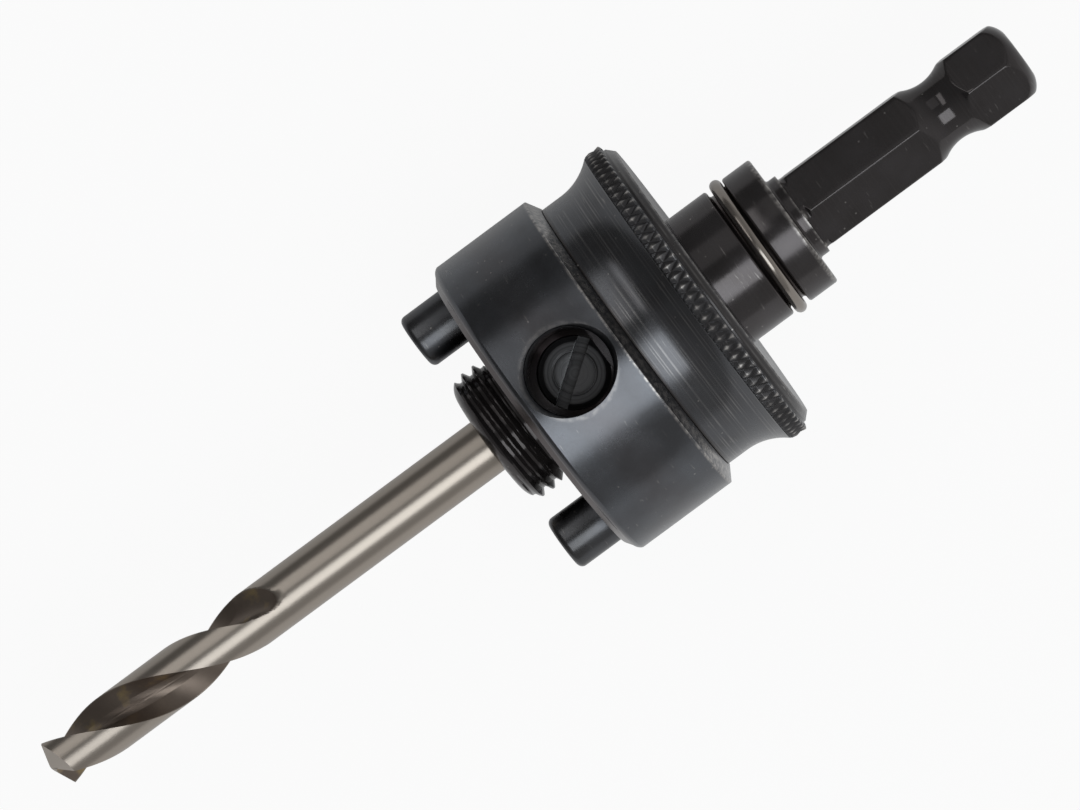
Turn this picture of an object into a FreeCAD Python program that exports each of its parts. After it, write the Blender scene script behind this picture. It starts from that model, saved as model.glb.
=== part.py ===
# Hole saw arbor with a spring-loaded drive collar, a pilot drill and a hex shank.
# Frame: origin on the axis at the face a hole saw seats on, +X along the axis towards the
# hex shank, +Z up through the slotted set screw. The arbor lies on its collar. Millimetres.
import FreeCAD, Part

import math
import os
import re

import Sketcher

# Driving dimensions: alias, value, what it measures
SIZES = [
    ("seat_gap", 0.1, "hole saw seat stands this far in front of the drive collar"),
    ("thread_diameter", 15.875, "5/8 in thread, over its crests"),
    ("nose_length", 5.45, "threaded nose in front of the seat"),
    ("nose_chamfer_run", 1.3, "lead-in of the thread, along the axis"),
    ("nose_chamfer_rise", 1.45, "lead-in of the thread, in radius"),
    ("boss_diameter", 24.0, "boss that carries the drive collar"),
    ("boss_flats", 18.0, "across the two flats that turn the collar"),
    ("boss_length", 10.6, "seat to the shoulder behind the boss"),
    ("barrel_diameter", 16.2, "barrel that the collar slides on"),
    ("barrel_edge", 0.3, "broken edges of the barrel and its rear flange"),
    ("ring_groove_front", 29.4, "seat to the front of the stop ring's groove"),
    ("ring_groove_width", 2.1, "groove of the stop ring"),
    ("ring_groove_depth", 0.85, "groove of the stop ring"),
    ("flange_length", 3.7, "rear flange of the barrel"),
    ("flange_edge", 0.5, "rounded rear edge of the flange"),
    ("neck_diameter", 10.0, "round neck between flange and hex"),
    ("neck_length", 1.35, "round neck between flange and hex"),
    ("hex_flats", 8.8, "across the flats of the hex shank"),
    ("hex_corners", 10.1, "over the turned corners of the hex shank"),
    ("hex_root", 9.3, "over the corners where the hex meets the neck"),
    ("hex_root_run", 3.2, "length of the turned-down corners next to the neck"),
    ("hex_length", 28.65, "hex shank, neck to end"),
    ("hex_turn", 6.5, "corner of the hex from the set screw's line, degrees"),
    ("detent_from_end", 10.4, "shank end to the middle of the detent groove"),
    ("detent_diameter", 7.44, "floor of the detent groove"),
    ("detent_arc", 4.7, "radius of the detent groove's section"),
    ("shank_end_diameter", 5.8, "flat at the end of the shank"),
    ("shank_end_run", 2.2, "rounded end of the shank, along the axis"),
    ("shank_end_arc", 2.9, "radius of the rounded end"),
    ("pilot_diameter", 6.35, "1/4 in pilot drill"),
    ("pilot_clearance", 0.04, "between drill and bore, in diameter"),
    ("pilot_reach", 65.0, "apex of the drill point in front of the seat"),
    ("pilot_depth", 20.0, "drill behind the seat, inside the arbor"),
    ("pilot_bore_spare", 0.6, "bore past the rear end of the drill"),
    ("point_angle", 130.0, "drill point, degrees"),
    ("point_lean", 12.0, "each flank of the point leans away behind its lip, degrees"),
    ("point_lean_turn", 75.0, "where that lean is steepest, from the lip, degrees"),
    ("chisel_offset", 0.25, "half the width of the chisel edge"),
    ("flute_lead", 39.0, "one turn of the flutes"),
    ("flute_length", 31.5, "drill point to the end of the flutes"),
    ("flute_gap", 98.0, "opening of each flute, degrees"),
    ("flute_runout", 7.5, "length over which the flutes run out"),
    ("flute_crossing", 12.7, "drill point to where a flute faces up"),
    ("web_thickness", 1.3, "core left between the flutes"),
    ("flute_lean", 12.0, "deepest line of a flute, towards its lip, degrees"),
    ("drill_flat_depth", 0.45, "flat on the drill under the set screw"),
    ("drill_flat_length", 8.5, "flat on the drill, along the axis"),
    ("drill_end_chamfer", 0.4, "rear end of the drill"),
    ("screw_diameter", 7.9, "set screw"),
    ("screw_length", 8.0, "set screw"),
    ("screw_chamfer", 0.85, "edge of the screw's slotted end"),
    ("screw_point_diameter", 5.0, "flat point of the screw"),
    ("screw_slot_width", 1.3, "screwdriver slot"),
    ("screw_slot_depth", 1.7, "screwdriver slot"),
    ("screw_slot_turn", 37.0, "slot from the arbor's axis, degrees"),
    ("screw_clearance", 0.1, "between screw and its hole, in diameter"),
    ("screw_from_seat", 7.0, "seat to the screw's axis"),
    ("collar_diameter", 37.5, "drive collar"),
    ("collar_length", 13.95, "drive collar, front face to rear face"),
    ("collar_front_run", 1.2, "front bevel, along the axis"),
    ("collar_front_rise", 1.65, "front bevel, in radius"),
    ("collar_rear_run", 0.95, "rear bevel, along the axis"),
    ("collar_rear_rise", 1.6, "rear bevel, in radius"),
    ("collar_web", 2.1, "wall behind the boss, which the spring pushes on"),
    ("slide_clearance", 0.1, "between sliding pieces, in diameter"),
    ("spigot_length", 3.9, "rear spigot of the collar, which the sleeve is pressed on"),
    ("spigot_wall", 1.3, "wall of the spigot, round the spring"),
    ("pin_diameter", 6.35, "drive pins, in front of the collar"),
    ("pin_shank_diameter", 5.8, "pressed shank of the drive pins, inside the collar"),
    ("pin_circle", 27.0, "circle through the two drive pins"),
    ("pin_reach", 5.5, "drive pins in front of the seat"),
    ("pin_depth", 9.4, "pressed shank of the drive pins"),
    ("pin_round", 0.7, "rounded front edge of the drive pins"),
    ("pin_edge", 0.15, "broken edge of the drive pins' shoulder"),
    ("access_diameter", 9.4, "hole in the collar over the set screw"),
    ("access_sink", 0.7, "countersink of that hole, in radius"),
    ("sleeve_drop", 1.8, "front of the pull sleeve below the collar, in radius"),
    ("sleeve_wall", 2.35, "wall of the pull sleeve on the collar's spigot"),
    ("sleeve_straight", 2.5, "straight front of the pull sleeve"),
    ("flare_run", 4.5, "flare of the pull sleeve, along the axis"),
    ("flare_arc", 6.7, "radius of the flare"),
    ("grip_rise", 0.15, "knurled rim of the pull sleeve above the collar, in radius"),
    ("grip_length", 2.1, "knurled rim of the pull sleeve"),
    ("grip_drop", 0.75, "step behind the knurled rim, in radius"),
    ("sleeve_rear_bevel", 0.8, "bevel round the rear face"),
    ("sleeve_length", 10.2, "pull sleeve, front to rear face"),
    ("sleeve_rear_wall", 1.4, "rear wall of the pull sleeve"),
    ("stop_wire", 1.25, "wire of the stop ring"),
    ("stop_ring_back", 0.15, "stop ring behind the middle of its groove"),
    ("stop_ring_play", 0.1, "stop ring off the floor of its groove"),
    ("stop_ring_gap", 8.0, "split of the stop ring, degrees"),
    ("stop_ring_tilt", 1.1, "lean of the stop ring in its groove, degrees"),
    ("spring_wire", 0.9, "conical return spring"),
    ("spring_turns", 3.0, "conical return spring"),
    ("spring_front_play", 0.55, "between the spring's wide end and the collar's spigot"),
    ("spring_rear_play", 0.85, "between the spring's narrow end and the barrel"),
    ("washer_front", 20.8, "seat to the washer that the spring bears on"),
    ("washer_thickness", 0.8, "spring washer"),
    ("washer_rise", 1.2, "spring washer past the spring's narrow end, in radius"),
    ("snap_thickness", 1.0, "inner snap ring"),
    ("snap_rise", 1.6, "inner snap ring above the barrel"),
    ("snap_groove_depth", 0.55, "groove of the inner snap ring"),
    ("snap_gap", 28.0, "split of the inner snap ring, degrees"),
]
ALIASES = {alias for alias, value, note in SIZES}

doc = FreeCAD.newDocument("hole_saw_arbor")
sheet = doc.addObject("Spreadsheet::Sheet", "Sizes")
for row, (alias, value, note) in enumerate(SIZES, start=1):
    sheet.set(f"A{row}", note)
    sheet.set(f"B{row}", str(value))
    sheet.setAlias(f"B{row}", alias)
doc.recompute()


def bound(text):
    """The expression with each alias looked up in the sheet."""
    return re.sub(r"[a-z_]+", lambda word: "Sizes." + word[0] if word[0] in ALIASES else word[0], text)


def number(text):
    """What an expression comes to now."""
    result = sheet.evalExpression(bound(text))
    return float(getattr(result, "Value", result))


# Places along the axis, from the seat towards the shank
SHOULDER = "boss_length"
WEB_REAR = "boss_length + collar_web"
COLLAR_REAR = "seat_gap + collar_length"
SPIGOT_END = f"{COLLAR_REAR} + spigot_length"
SLEEVE_REAR = f"{COLLAR_REAR} + sleeve_length"
SLEEVE_INNER = f"{SLEEVE_REAR} - sleeve_rear_wall"
SNAP_FRONT = "washer_front + washer_thickness"
SNAP_REAR = f"{SNAP_FRONT} + snap_thickness"
GROOVE_REAR = "ring_groove_front + ring_groove_width"
FLANGE_REAR = f"{GROOVE_REAR} + flange_length"
NECK_REAR = f"{FLANGE_REAR} + neck_length"
SHANK_END = f"{NECK_REAR} + hex_length"
DETENT = f"{SHANK_END} - detent_from_end"
STOP_RING = "ring_groove_front + ring_groove_width / 2 + stop_ring_back"
SCREW_POINT = "pilot_diameter / 2 - drill_flat_depth"

# Radii that follow from others
BORE_RADIUS = "(barrel_diameter + slide_clearance) / 2"
SLEEVE_FRONT = "collar_diameter / 2 - sleeve_drop"
SPIGOT = f"{SLEEVE_FRONT} - sleeve_wall"
SPIGOT_BORE = f"{SPIGOT} - spigot_wall"
SPRING_REAR = "barrel_diameter / 2 + spring_rear_play + spring_wire"
SNAP_FLOOR = "barrel_diameter / 2 - snap_groove_depth"
# the detent groove reaches the turned corners this far either side of its middle
DETENT_HALF = "sqrt(detent_arc ^ 2 - (detent_arc + (detent_diameter - hex_corners) / 2) ^ 2)"


def new_body(label):
    body = doc.addObject("PartDesign::Body", label)
    body.Label = label
    return body


def new_sketch(body, name, role, offset="0"):
    """A sketch on one of the body's own planes, moved along that plane's normal."""
    sketch = body.newObject("Sketcher::SketchObject", f"{body.Name}_{name}")
    plane = next(item for item in body.Origin.OriginFeatures if item.Role == role)
    sketch.AttachmentSupport = (plane, [""])
    sketch.MapMode = "FlatFace"
    sketch.setExpression("AttachmentOffset.Base.z", bound(offset))
    return sketch


def spin_sketch(sketch, angle):
    """Turn a sketch in its own plane."""
    sketch.AttachmentOffset.Rotation = FreeCAD.Rotation(FreeCAD.Vector(0, 0, 1), number(angle))
    sketch.setExpression("AttachmentOffset.Rotation.Angle", bound(angle))


def pin_point(sketch, name, geometry, end, across, up):
    """Hold one point of a sketch at the two expressions."""
    for kind, axis, text in (("DistanceX", -2, across), ("DistanceY", -1, up)):
        if text == "0":
            sketch.addConstraint(Sketcher.Constraint("PointOnObject", geometry, end, axis))
            continue
        index = sketch.addConstraint(Sketcher.Constraint(kind, -1, 1, geometry, end, number(text)))
        sketch.renameConstraint(index, f"{name}_{kind[-1]}")
        sketch.setExpression(f"Constraints.{name}_{kind[-1]}", bound(text))


def outline(sketch, *corners):
    """A closed outline. A corner is (across, up), or (across, up, radius) where an arc leads to
    it: a positive radius has its centre on the left of the way there, a negative one on the right."""
    places = [FreeCAD.Vector(number(corner[0]), number(corner[1]), 0) for corner in corners]
    ends = []
    for index, corner in enumerate(corners):
        start, end = places[index - 1], places[index]
        if len(corner) == 2:
            added = sketch.addGeometry(Part.LineSegment(start, end))
            ends.append((added, 1, 2))
            continue
        radius = number(corner[2])
        chord = end - start
        left = FreeCAD.Vector(-chord.y, chord.x, 0).normalize()
        rise = math.sqrt(radius ** 2 - (chord.Length / 2) ** 2)
        centre = (start + end) / 2 + left * math.copysign(rise, radius)
        first, last = (start, end) if radius > 0 else (end, start)
        angles = [math.atan2(place.y - centre.y, place.x - centre.x) for place in (first, last)]
        circle = Part.Circle(centre, FreeCAD.Vector(0, 0, 1), abs(radius))
        added = sketch.addGeometry(Part.ArcOfCircle(circle, angles[0], angles[1]))
        ends.append((added, 1, 2) if radius > 0 else (added, 2, 1))
        bend = sketch.addConstraint(Sketcher.Constraint("Radius", added, abs(radius)))
        sketch.renameConstraint(bend, f"arc{index}")
        sketch.setExpression(f"Constraints.arc{index}", bound(corner[2].lstrip("-")))
    for index, corner in enumerate(corners):
        line, line_end = ends[index][0], ends[index][2]
        following, following_start = ends[(index + 1) % len(corners)][:2]
        joined = Sketcher.Constraint("Coincident", line, line_end, following, following_start)
        sketch.addConstraint(joined)
        pin_point(sketch, f"corner{index}", line, line_end, corner[0], corner[1])


def rectangle(sketch, name, near, far, half):
    """A rectangle from near to far, and half each side of the sketch's own axis."""
    places = [(near, f"-{half}"), (far, f"-{half}"), (far, half), (near, half)]
    lines = []
    for index, place in enumerate(places):
        before = places[index - 1]
        start = FreeCAD.Vector(number(before[0]), number(before[1]), 0)
        end = FreeCAD.Vector(number(place[0]), number(place[1]), 0)
        lines.append(sketch.addGeometry(Part.LineSegment(start, end)))
    for index, place in enumerate(places):
        following = lines[(index + 1) % 4]
        sketch.addConstraint(Sketcher.Constraint("Coincident", lines[index], 2, following, 1))
        pin_point(sketch, f"{name}{index}", lines[index], 2, place[0], place[1])


def ring(sketch, name, across, up, diameter):
    """A circle in a sketch."""
    place = FreeCAD.Vector(number(across), number(up), 0)
    circle = Part.Circle(place, FreeCAD.Vector(0, 0, 1), number(diameter) / 2)
    added = sketch.addGeometry(circle)
    pin_point(sketch, name, added, 3, across, up)
    index = sketch.addConstraint(Sketcher.Constraint("Diameter", added, number(diameter)))
    sketch.renameConstraint(index, f"{name}_size")
    sketch.setExpression(f"Constraints.{name}_size", bound(diameter))


def turn(body, sketch, axis="H_Axis", angle="360"):
    """Revolve a profile."""
    feature = body.newObject("PartDesign::Revolution", f"{body.Name}_turned")
    feature.Profile = sketch
    feature.ReferenceAxis = (sketch, [axis])
    feature.setExpression("Angle", bound(angle))
    return feature


def cut(body, sketch, name, depth=None, forward=True):
    """Cut a profile along its plane's normal, right through where no depth is given."""
    feature = body.newObject("PartDesign::Pocket", f"{body.Name}_{name}")
    feature.Profile = sketch
    feature.Reversed = forward
    if depth is None:
        feature.Type = "ThroughAll"
    else:
        feature.setExpression("Length", bound(depth))
    return feature


def make_arbor_body():
    """Nose, boss, barrel, flange, neck and hex shank, turned from one bar and then milled."""
    body = new_body("arbor_body")
    profile = new_sketch(body, "profile", "XZ_Plane")
    bore = "(pilot_diameter + pilot_clearance) / 2"
    thread = "thread_diameter / 2"
    barrel = "barrel_diameter / 2"
    corner = "hex_corners / 2"
    bore_end = "pilot_depth + pilot_bore_spare"
    outline(
        profile,
        ("-nose_length", bore),
        ("-nose_length", f"{thread} - nose_chamfer_rise"),
        ("-nose_length + nose_chamfer_run", thread),
        ("0", thread),
        ("0", "boss_diameter / 2"),
        (SHOULDER, "boss_diameter / 2"),
        (SHOULDER, barrel),
        (SNAP_FRONT, barrel),
        (SNAP_FRONT, SNAP_FLOOR),
        (SNAP_REAR, SNAP_FLOOR),
        (SNAP_REAR, barrel),
        ("ring_groove_front - barrel_edge", barrel),
        ("ring_groove_front", f"{barrel} - barrel_edge"),
        ("ring_groove_front", "barrel_diameter / 2 - ring_groove_depth"),
        (GROOVE_REAR, "barrel_diameter / 2 - ring_groove_depth"),
        (GROOVE_REAR, f"{barrel} - barrel_edge"),
        (f"{GROOVE_REAR} + barrel_edge", barrel),
        (f"{FLANGE_REAR} - flange_edge", barrel),
        (FLANGE_REAR, f"{barrel} - flange_edge", "-flange_edge"),
        (FLANGE_REAR, "neck_diameter / 2"),
        (f"{NECK_REAR} - (neck_diameter - hex_root) / 2", "neck_diameter / 2"),
        (NECK_REAR, "hex_root / 2"),
        (f"{NECK_REAR} + hex_root_run", corner),
        (f"{DETENT} - {DETENT_HALF}", corner),
        (f"{DETENT} + {DETENT_HALF}", corner, "detent_arc"),
        (f"{SHANK_END} - shank_end_run", corner),
        (SHANK_END, "shank_end_diameter / 2", "-shank_end_arc"),
        (SHANK_END, "0"),
        (f"{bore_end} + ({bore}) / 1.7", "0"),
        (bore_end, bore),
    )
    turn(body, profile)

    # two flats on the boss take the collar round with the arbor
    flats = new_sketch(body, "boss_flats", "YZ_Plane")
    for side, sign in (("left", ""), ("right", "-")):
        near, far = f"{sign}boss_flats / 2", f"{sign}boss_diameter"
        rectangle(flats, side, near, far, "boss_diameter / 2")
    cut(body, flats, "flats", SHOULDER)

    # one side of the hex, repeated six times round the shank
    side = new_sketch(body, "hex_side", "YZ_Plane", NECK_REAR)
    spin_sketch(side, "hex_turn")
    rectangle(side, "side", "hex_flats / 2", "hex_corners", "hex_corners / 2")
    first = cut(body, side, "hex_side_cut")
    doc.recompute()
    pattern = body.newObject("PartDesign::PolarPattern", "arbor_body_hex")
    pattern.Originals = [first]
    axis = next(item for item in body.Origin.OriginFeatures if item.Role == "X_Axis")
    pattern.Axis = (axis, [""])
    pattern.Angle = 360
    pattern.Occurrences = 6
    body.Tip = pattern

    hole = new_sketch(body, "screw_hole", "XY_Plane")
    ring(hole, "screw", "screw_from_seat", "0", "screw_diameter + screw_clearance")
    cut(body, hole, "screw_hole_cut")
    return body


def make_drive_collar():
    """Collar that slides on the boss and carries the two drive pins."""
    body = new_body("drive_collar")
    profile = new_sketch(body, "profile", "XZ_Plane")
    outer = "collar_diameter / 2"
    outline(
        profile,
        ("seat_gap", BORE_RADIUS),
        ("seat_gap", f"{outer} - collar_front_rise"),
        ("seat_gap + collar_front_run", outer),
        (f"{COLLAR_REAR} - collar_rear_run", outer),
        (COLLAR_REAR, f"{outer} - collar_rear_rise"),
        (COLLAR_REAR, SPIGOT),
        (SPIGOT_END, SPIGOT),
        (SPIGOT_END, SPIGOT_BORE),
        (WEB_REAR, SPIGOT_BORE),
        (WEB_REAR, BORE_RADIUS),
    )
    turn(body, profile)

    # bore with two flats, a sliding fit over the boss
    bore = new_sketch(body, "boss_bore", "YZ_Plane")
    round_part = "(boss_diameter + slide_clearance) / 2"
    flat = "(boss_flats + slide_clearance) / 2"
    height = f"sqrt(({round_part}) ^ 2 - ({flat}) ^ 2)"
    outline(
        bore,
        (flat, f"-{height}", round_part),
        (flat, height),
        (f"-{flat}", height, round_part),
        (f"-{flat}", f"-{height}"),
    )
    cut(body, bore, "boss_bore_cut", SHOULDER)

    pins = new_sketch(body, "pin_holes", "YZ_Plane")
    ring(pins, "left", "pin_circle / 2", "0", "pin_shank_diameter")
    ring(pins, "right", "-pin_circle / 2", "0", "pin_shank_diameter")
    cut(body, pins, "pin_holes_cut", "seat_gap + pin_depth")

    # hole that a screwdriver reaches the set screw through
    access = new_sketch(body, "access_hole", "XY_Plane")
    ring(access, "access", "screw_from_seat", "0", "access_diameter")
    cut(body, access, "access_hole_cut")
    sink = body.newObject("PartDesign::SubtractiveCone", "drive_collar_countersink")
    plane = next(item for item in body.Origin.OriginFeatures if item.Role == "XY_Plane")
    sink.AttachmentSupport = (plane, [""])
    sink.MapMode = "FlatFace"
    sink.setExpression("AttachmentOffset.Base.x", bound("screw_from_seat"))
    sink.setExpression("AttachmentOffset.Base.z", bound("collar_diameter / 2 - access_sink"))
    sink.setExpression("Radius1", bound("access_diameter / 2"))
    sink.setExpression("Radius2", bound("access_diameter / 2 + 2 * access_sink"))
    sink.setExpression("Height", bound("2 * access_sink"))
    return body


def make_drive_pin(label, side):
    """One of the two pins that turn the hole saw. Its shank is pressed into the collar up to its
    shoulder."""
    body = new_body(label)
    profile = new_sketch(body, "profile", "XZ_Plane")
    radius = "pin_diameter / 2"
    shank = "pin_shank_diameter / 2"
    rear = "seat_gap + pin_depth"
    outline(
        profile,
        ("-pin_reach", "0"),
        ("-pin_reach", f"{radius} - pin_round"),
        ("-pin_reach + pin_round", radius, "-pin_round"),
        ("seat_gap - pin_edge", radius),
        ("seat_gap", f"{radius} - pin_edge"),
        ("seat_gap", shank),
        (rear, shank),
        (rear, "0"),
    )
    turn(body, profile)
    body.setExpression("Placement.Base.y", bound(f"{side}pin_circle / 2"))
    return body


def make_pull_sleeve():
    """Flared sleeve with a knurled rim, pressed on the collar's spigot over the spring."""
    body = new_body("pull_sleeve")
    profile = new_sketch(body, "profile", "XZ_Plane")
    grip = "collar_diameter / 2 + grip_rise"
    rear = f"{grip} - grip_drop"
    flare_start = f"{COLLAR_REAR} + sleeve_straight"
    flare_end = f"{flare_start} + flare_run"
    outline(
        profile,
        (COLLAR_REAR, SPIGOT),
        (COLLAR_REAR, SLEEVE_FRONT),
        (flare_start, SLEEVE_FRONT),
        (flare_end, f"{SLEEVE_FRONT} + flare_arc - sqrt(flare_arc ^ 2 - flare_run ^ 2)", "flare_arc"),
        (flare_end, grip),
        (f"{flare_end} + grip_length", grip),
        (f"{flare_end} + grip_length", rear),
        (f"{SLEEVE_REAR} - sleeve_rear_bevel", rear),
        (SLEEVE_REAR, f"{rear} - sleeve_rear_bevel"),
        (SLEEVE_REAR, BORE_RADIUS),
        (SLEEVE_INNER, BORE_RADIUS),
        (SLEEVE_INNER, SPIGOT),
    )
    turn(body, profile)
    return body


def make_set_screw():
    """Slotted set screw that holds the pilot drill."""
    body = new_body("pilot_set_screw")
    profile = new_sketch(body, "profile", "XZ_Plane")
    radius = "screw_diameter / 2"
    point = "screw_point_diameter / 2"
    top = f"{SCREW_POINT} + screw_length"
    outline(
        profile,
        ("0", SCREW_POINT),
        (point, SCREW_POINT),
        (radius, f"{SCREW_POINT} + {radius} - {point}"),
        (radius, f"{top} - screw_chamfer"),
        (f"{radius} - screw_chamfer", top),
        ("0", top),
    )
    turn(body, profile, "V_Axis")
    slot = new_sketch(body, "slot", "XY_Plane", f"{top} - screw_slot_depth")
    spin_sketch(slot, "screw_slot_turn")
    rectangle(slot, "slot", "-screw_diameter", "screw_diameter", "screw_slot_width / 2")
    cut(body, slot, "slot_cut")
    body.setExpression("Placement.Base.x", bound("screw_from_seat"))
    return body


def across_axis(angle):
    """The direction at this angle round the arbor's axis, from +Y towards +Z."""
    turned = math.radians(angle)
    return FreeCAD.Vector(0, math.cos(turned), math.sin(turned))


# the spring's path is made of arcs of this many degrees
ARC_ANGLE = 45


def make_return_spring():
    """Conical spring between the collar and the washer. Its turns nest when it is pressed flat, and
    it has no pitch at its ends, where it lies on its seats. The wire follows short arcs."""
    wire = number("spring_wire / 2")
    front, rear = number(WEB_REAR) + wire, number("washer_front") - wire
    wide = number(f"{SPIGOT_BORE} - spring_front_play") - wire
    narrow = number(SPRING_REAR) - wire
    arcs = round(number("spring_turns") * 360 / ARC_ANGLE)

    def place(step):
        share = step / arcs
        radius = wide + (narrow - wide) * share
        along = front + (rear - front) * share ** 2 * (3 - 2 * share)
        across = across_axis(ARC_ANGLE * step)
        return FreeCAD.Vector(along, 0, 0) + across * radius

    bends = [Part.Arc(place(step), place(step + 0.5), place(step + 1)) for step in range(arcs)]
    path = Part.Wire([bend.toShape() for bend in bends])
    first = bends[0]
    section = Part.Circle(first.StartPoint, first.tangent(first.FirstParameter)[0], wire)
    feature = doc.addObject("Part::Feature", "return_spring")
    feature.Label = "return_spring"
    feature.Shape = path.makePipeShell([Part.Wire([section.toShape()])], True, False, 1).Solids[0]
    return feature


def make_flat_ring(label, front, rear, inner, outer, angle="360"):
    """A ring of rectangular section, split where the angle is less than a whole turn."""
    body = new_body(label)
    profile = new_sketch(body, "profile", "XZ_Plane")
    outline(profile, (front, inner), (front, outer), (rear, outer), (rear, inner))
    turn(body, profile, angle=angle)
    return body


def make_stop_ring():
    """Split wire ring that stops the sleeve, lying a little askew in its groove."""
    body = new_body("stop_ring")
    wire = new_sketch(body, "wire", "XZ_Plane")
    middle = "barrel_diameter / 2 - ring_groove_depth + stop_ring_play + stop_wire / 2"
    ring(wire, "wire", "0", middle, "stop_wire")
    turn(body, wire, angle="360 - stop_ring_gap")
    split_down = FreeCAD.Rotation(FreeCAD.Vector(1, 0, 0), number("180 + stop_ring_gap / 2"))
    tilt = FreeCAD.Rotation(FreeCAD.Vector(0, 0, 1), -number("stop_ring_tilt"))
    body.Placement.Rotation = tilt * split_down
    body.setExpression("Placement.Base.x", bound(STOP_RING))
    return body


def make_flute(start, length, facing):
    """What one flute takes away, before it runs out: a circle through the lip, the flute's floor
    and the heel, swept along the drill while a helix turns it. It faces that angle at its start."""
    radius = number("pilot_diameter / 2")
    half_gap = number("flute_gap / 2")
    floor = across_axis(number("flute_lean")) * number("web_thickness / 2")
    through = Part.Circle(across_axis(half_gap) * radius, floor, across_axis(-half_gap) * radius)
    # made anew from its centre, the circle starts clear of the drill's surface
    circle = Part.Circle(through.Center, FreeCAD.Vector(1, 0, 0), through.Radius)
    section = Part.Wire([circle.toShape()])
    section.rotate(FreeCAD.Vector(0, 0, 0), FreeCAD.Vector(1, 0, 0), facing)
    section.translate(FreeCAD.Vector(start, 0, 0))
    spine = Part.LineSegment(FreeCAD.Vector(start, 0, 0), FreeCAD.Vector(start + length, 0, 0))
    helix = Part.makeHelix(number("flute_lead"), length, 2 * radius)
    helix.Placement = FreeCAD.Placement(
        FreeCAD.Vector(start, 0, 0), FreeCAD.Rotation(FreeCAD.Vector(0, 1, 0), 90)
    )
    sweep = Part.BRepOffsetAPI.MakePipeShell(Part.Wire([spine.toShape()]))
    sweep.setAuxiliarySpine(Part.Wire(helix.Edges), False, 0)
    sweep.add(section, False, False)
    sweep.build()
    sweep.makeSolid()
    return sweep.shape()


def make_pilot_drill():
    """Twist drill with two helical flutes that run out, a ground point and a flat for the screw."""
    radius = number("pilot_diameter / 2")
    chamfer = number("drill_end_chamfer")
    tip = -number("pilot_reach")
    rear = number("pilot_depth")
    along_axis = FreeCAD.Vector(1, 0, 0)
    drill = Part.makeCylinder(radius, rear - tip, FreeCAD.Vector(tip, 0, 0), along_axis)
    rear_edge = max(drill.Edges, key=lambda edge: edge.CenterOfMass.x)
    drill = drill.makeChamfer(chamfer, [rear_edge])

    # solid core that rises to the drill's surface as the grinding wheel leaves the flute
    flute_end = tip + number("flute_length")
    run = number("flute_runout")
    core = number("web_thickness / 2")
    wheel = (run ** 2 + (radius - core) ** 2) / (2 * (radius - core))
    middle = math.asin(run / wheel) / 2
    leave = FreeCAD.Vector(flute_end - run, 0, core)
    bend = leave + FreeCAD.Vector(wheel * math.sin(middle), 0, wheel * (1 - math.cos(middle)))
    full = FreeCAD.Vector(flute_end, 0, radius)
    beyond = [FreeCAD.Vector(flute_end + run, 0, 2 * radius), FreeCAD.Vector(flute_end + run, 0, 0)]
    foot = FreeCAD.Vector(flute_end - run, 0, 0)
    edges = [Part.Arc(leave, bend, full).toShape()]
    corners = [full, FreeCAD.Vector(flute_end, 0, 2 * radius)] + beyond + [foot, leave]
    edges += [Part.LineSegment(a, b).toShape() for a, b in zip(corners, corners[1:])]
    face = Part.Face(Part.Wire(edges))
    runout = face.revolve(FreeCAD.Vector(0, 0, 0), along_axis, 360)

    lead = number("flute_lead")
    start = tip - radius
    turned = 360 * (start - (tip + number("flute_crossing"))) / lead
    sweep_length = flute_end - start + radius / 2
    for opposite in (0, 180):
        flute = make_flute(start, sweep_length, 90 + turned + opposite)
        drill = drill.cut(flute.cut(runout))

    # each flank of the point is part of a cone that leans away behind its lip
    lip_angle = 90 - 360 * number("flute_crossing") / lead + number("flute_gap / 2")
    half_point = number("point_angle / 2")
    lean = math.radians(number("point_lean"))
    for opposite in (0, 180):
        behind = across_axis(lip_angle + number("point_lean_turn") + opposite)
        axis = along_axis * math.cos(lean) - behind * math.sin(lean)
        apex = FreeCAD.Vector(tip, 0, 0) - behind * number("chisel_offset")
        height = 6 * radius
        flank = Part.makeCone(0, height * math.tan(math.radians(half_point)), height, apex, axis)
        start_of_waste = FreeCAD.Vector(tip - radius, 0, 0)
        waste = Part.makeCylinder(2 * radius, 2.5 * radius, start_of_waste, along_axis)
        drill = drill.cut(waste.cut(flank))

    flat = Part.makeBox(number("drill_flat_length"), 2 * radius, radius)
    flat_start = number("screw_from_seat - drill_flat_length / 2")
    flat.translate(FreeCAD.Vector(flat_start, -radius, number(SCREW_POINT)))
    feature = doc.addObject("Part::Feature", "pilot_drill")
    feature.Label = "pilot_drill"
    feature.Shape = drill.cut(flat).Solids[0]
    return feature


parts = [
    make_arbor_body(),
    make_pilot_drill(),
    make_set_screw(),
    make_drive_collar(),
    make_drive_pin("drive_pin_left", ""),
    make_drive_pin("drive_pin_right", "-"),
    make_pull_sleeve(),
    make_return_spring(),
    make_flat_ring(
        "spring_washer", "washer_front", SNAP_FRONT, BORE_RADIUS, f"{SPRING_REAR} + washer_rise"
    ),
    make_flat_ring(
        "inner_snap_ring",
        SNAP_FRONT,
        SNAP_REAR,
        SNAP_FLOOR,
        "barrel_diameter / 2 + snap_rise",
        "360 - snap_gap",
    ),
    make_stop_ring(),
]
doc.recompute()

for item in doc.Objects:
    if "Invalid" in item.State or "Error" in item.State:
        raise RuntimeError(f"{item.Label} has failed: {item.State}")
os.makedirs("parts", exist_ok=True)
for part in parts:
    shape = part.Shape
    if shape.isNull() or not shape.isValid() or len(shape.Solids) != 1:
        raise RuntimeError(f"{part.Label} is not one valid solid")
    shape.exportStep(f"parts/{part.Label}.step")
    print(part.Label, round(shape.Volume, 2), shape.BoundBox)
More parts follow.
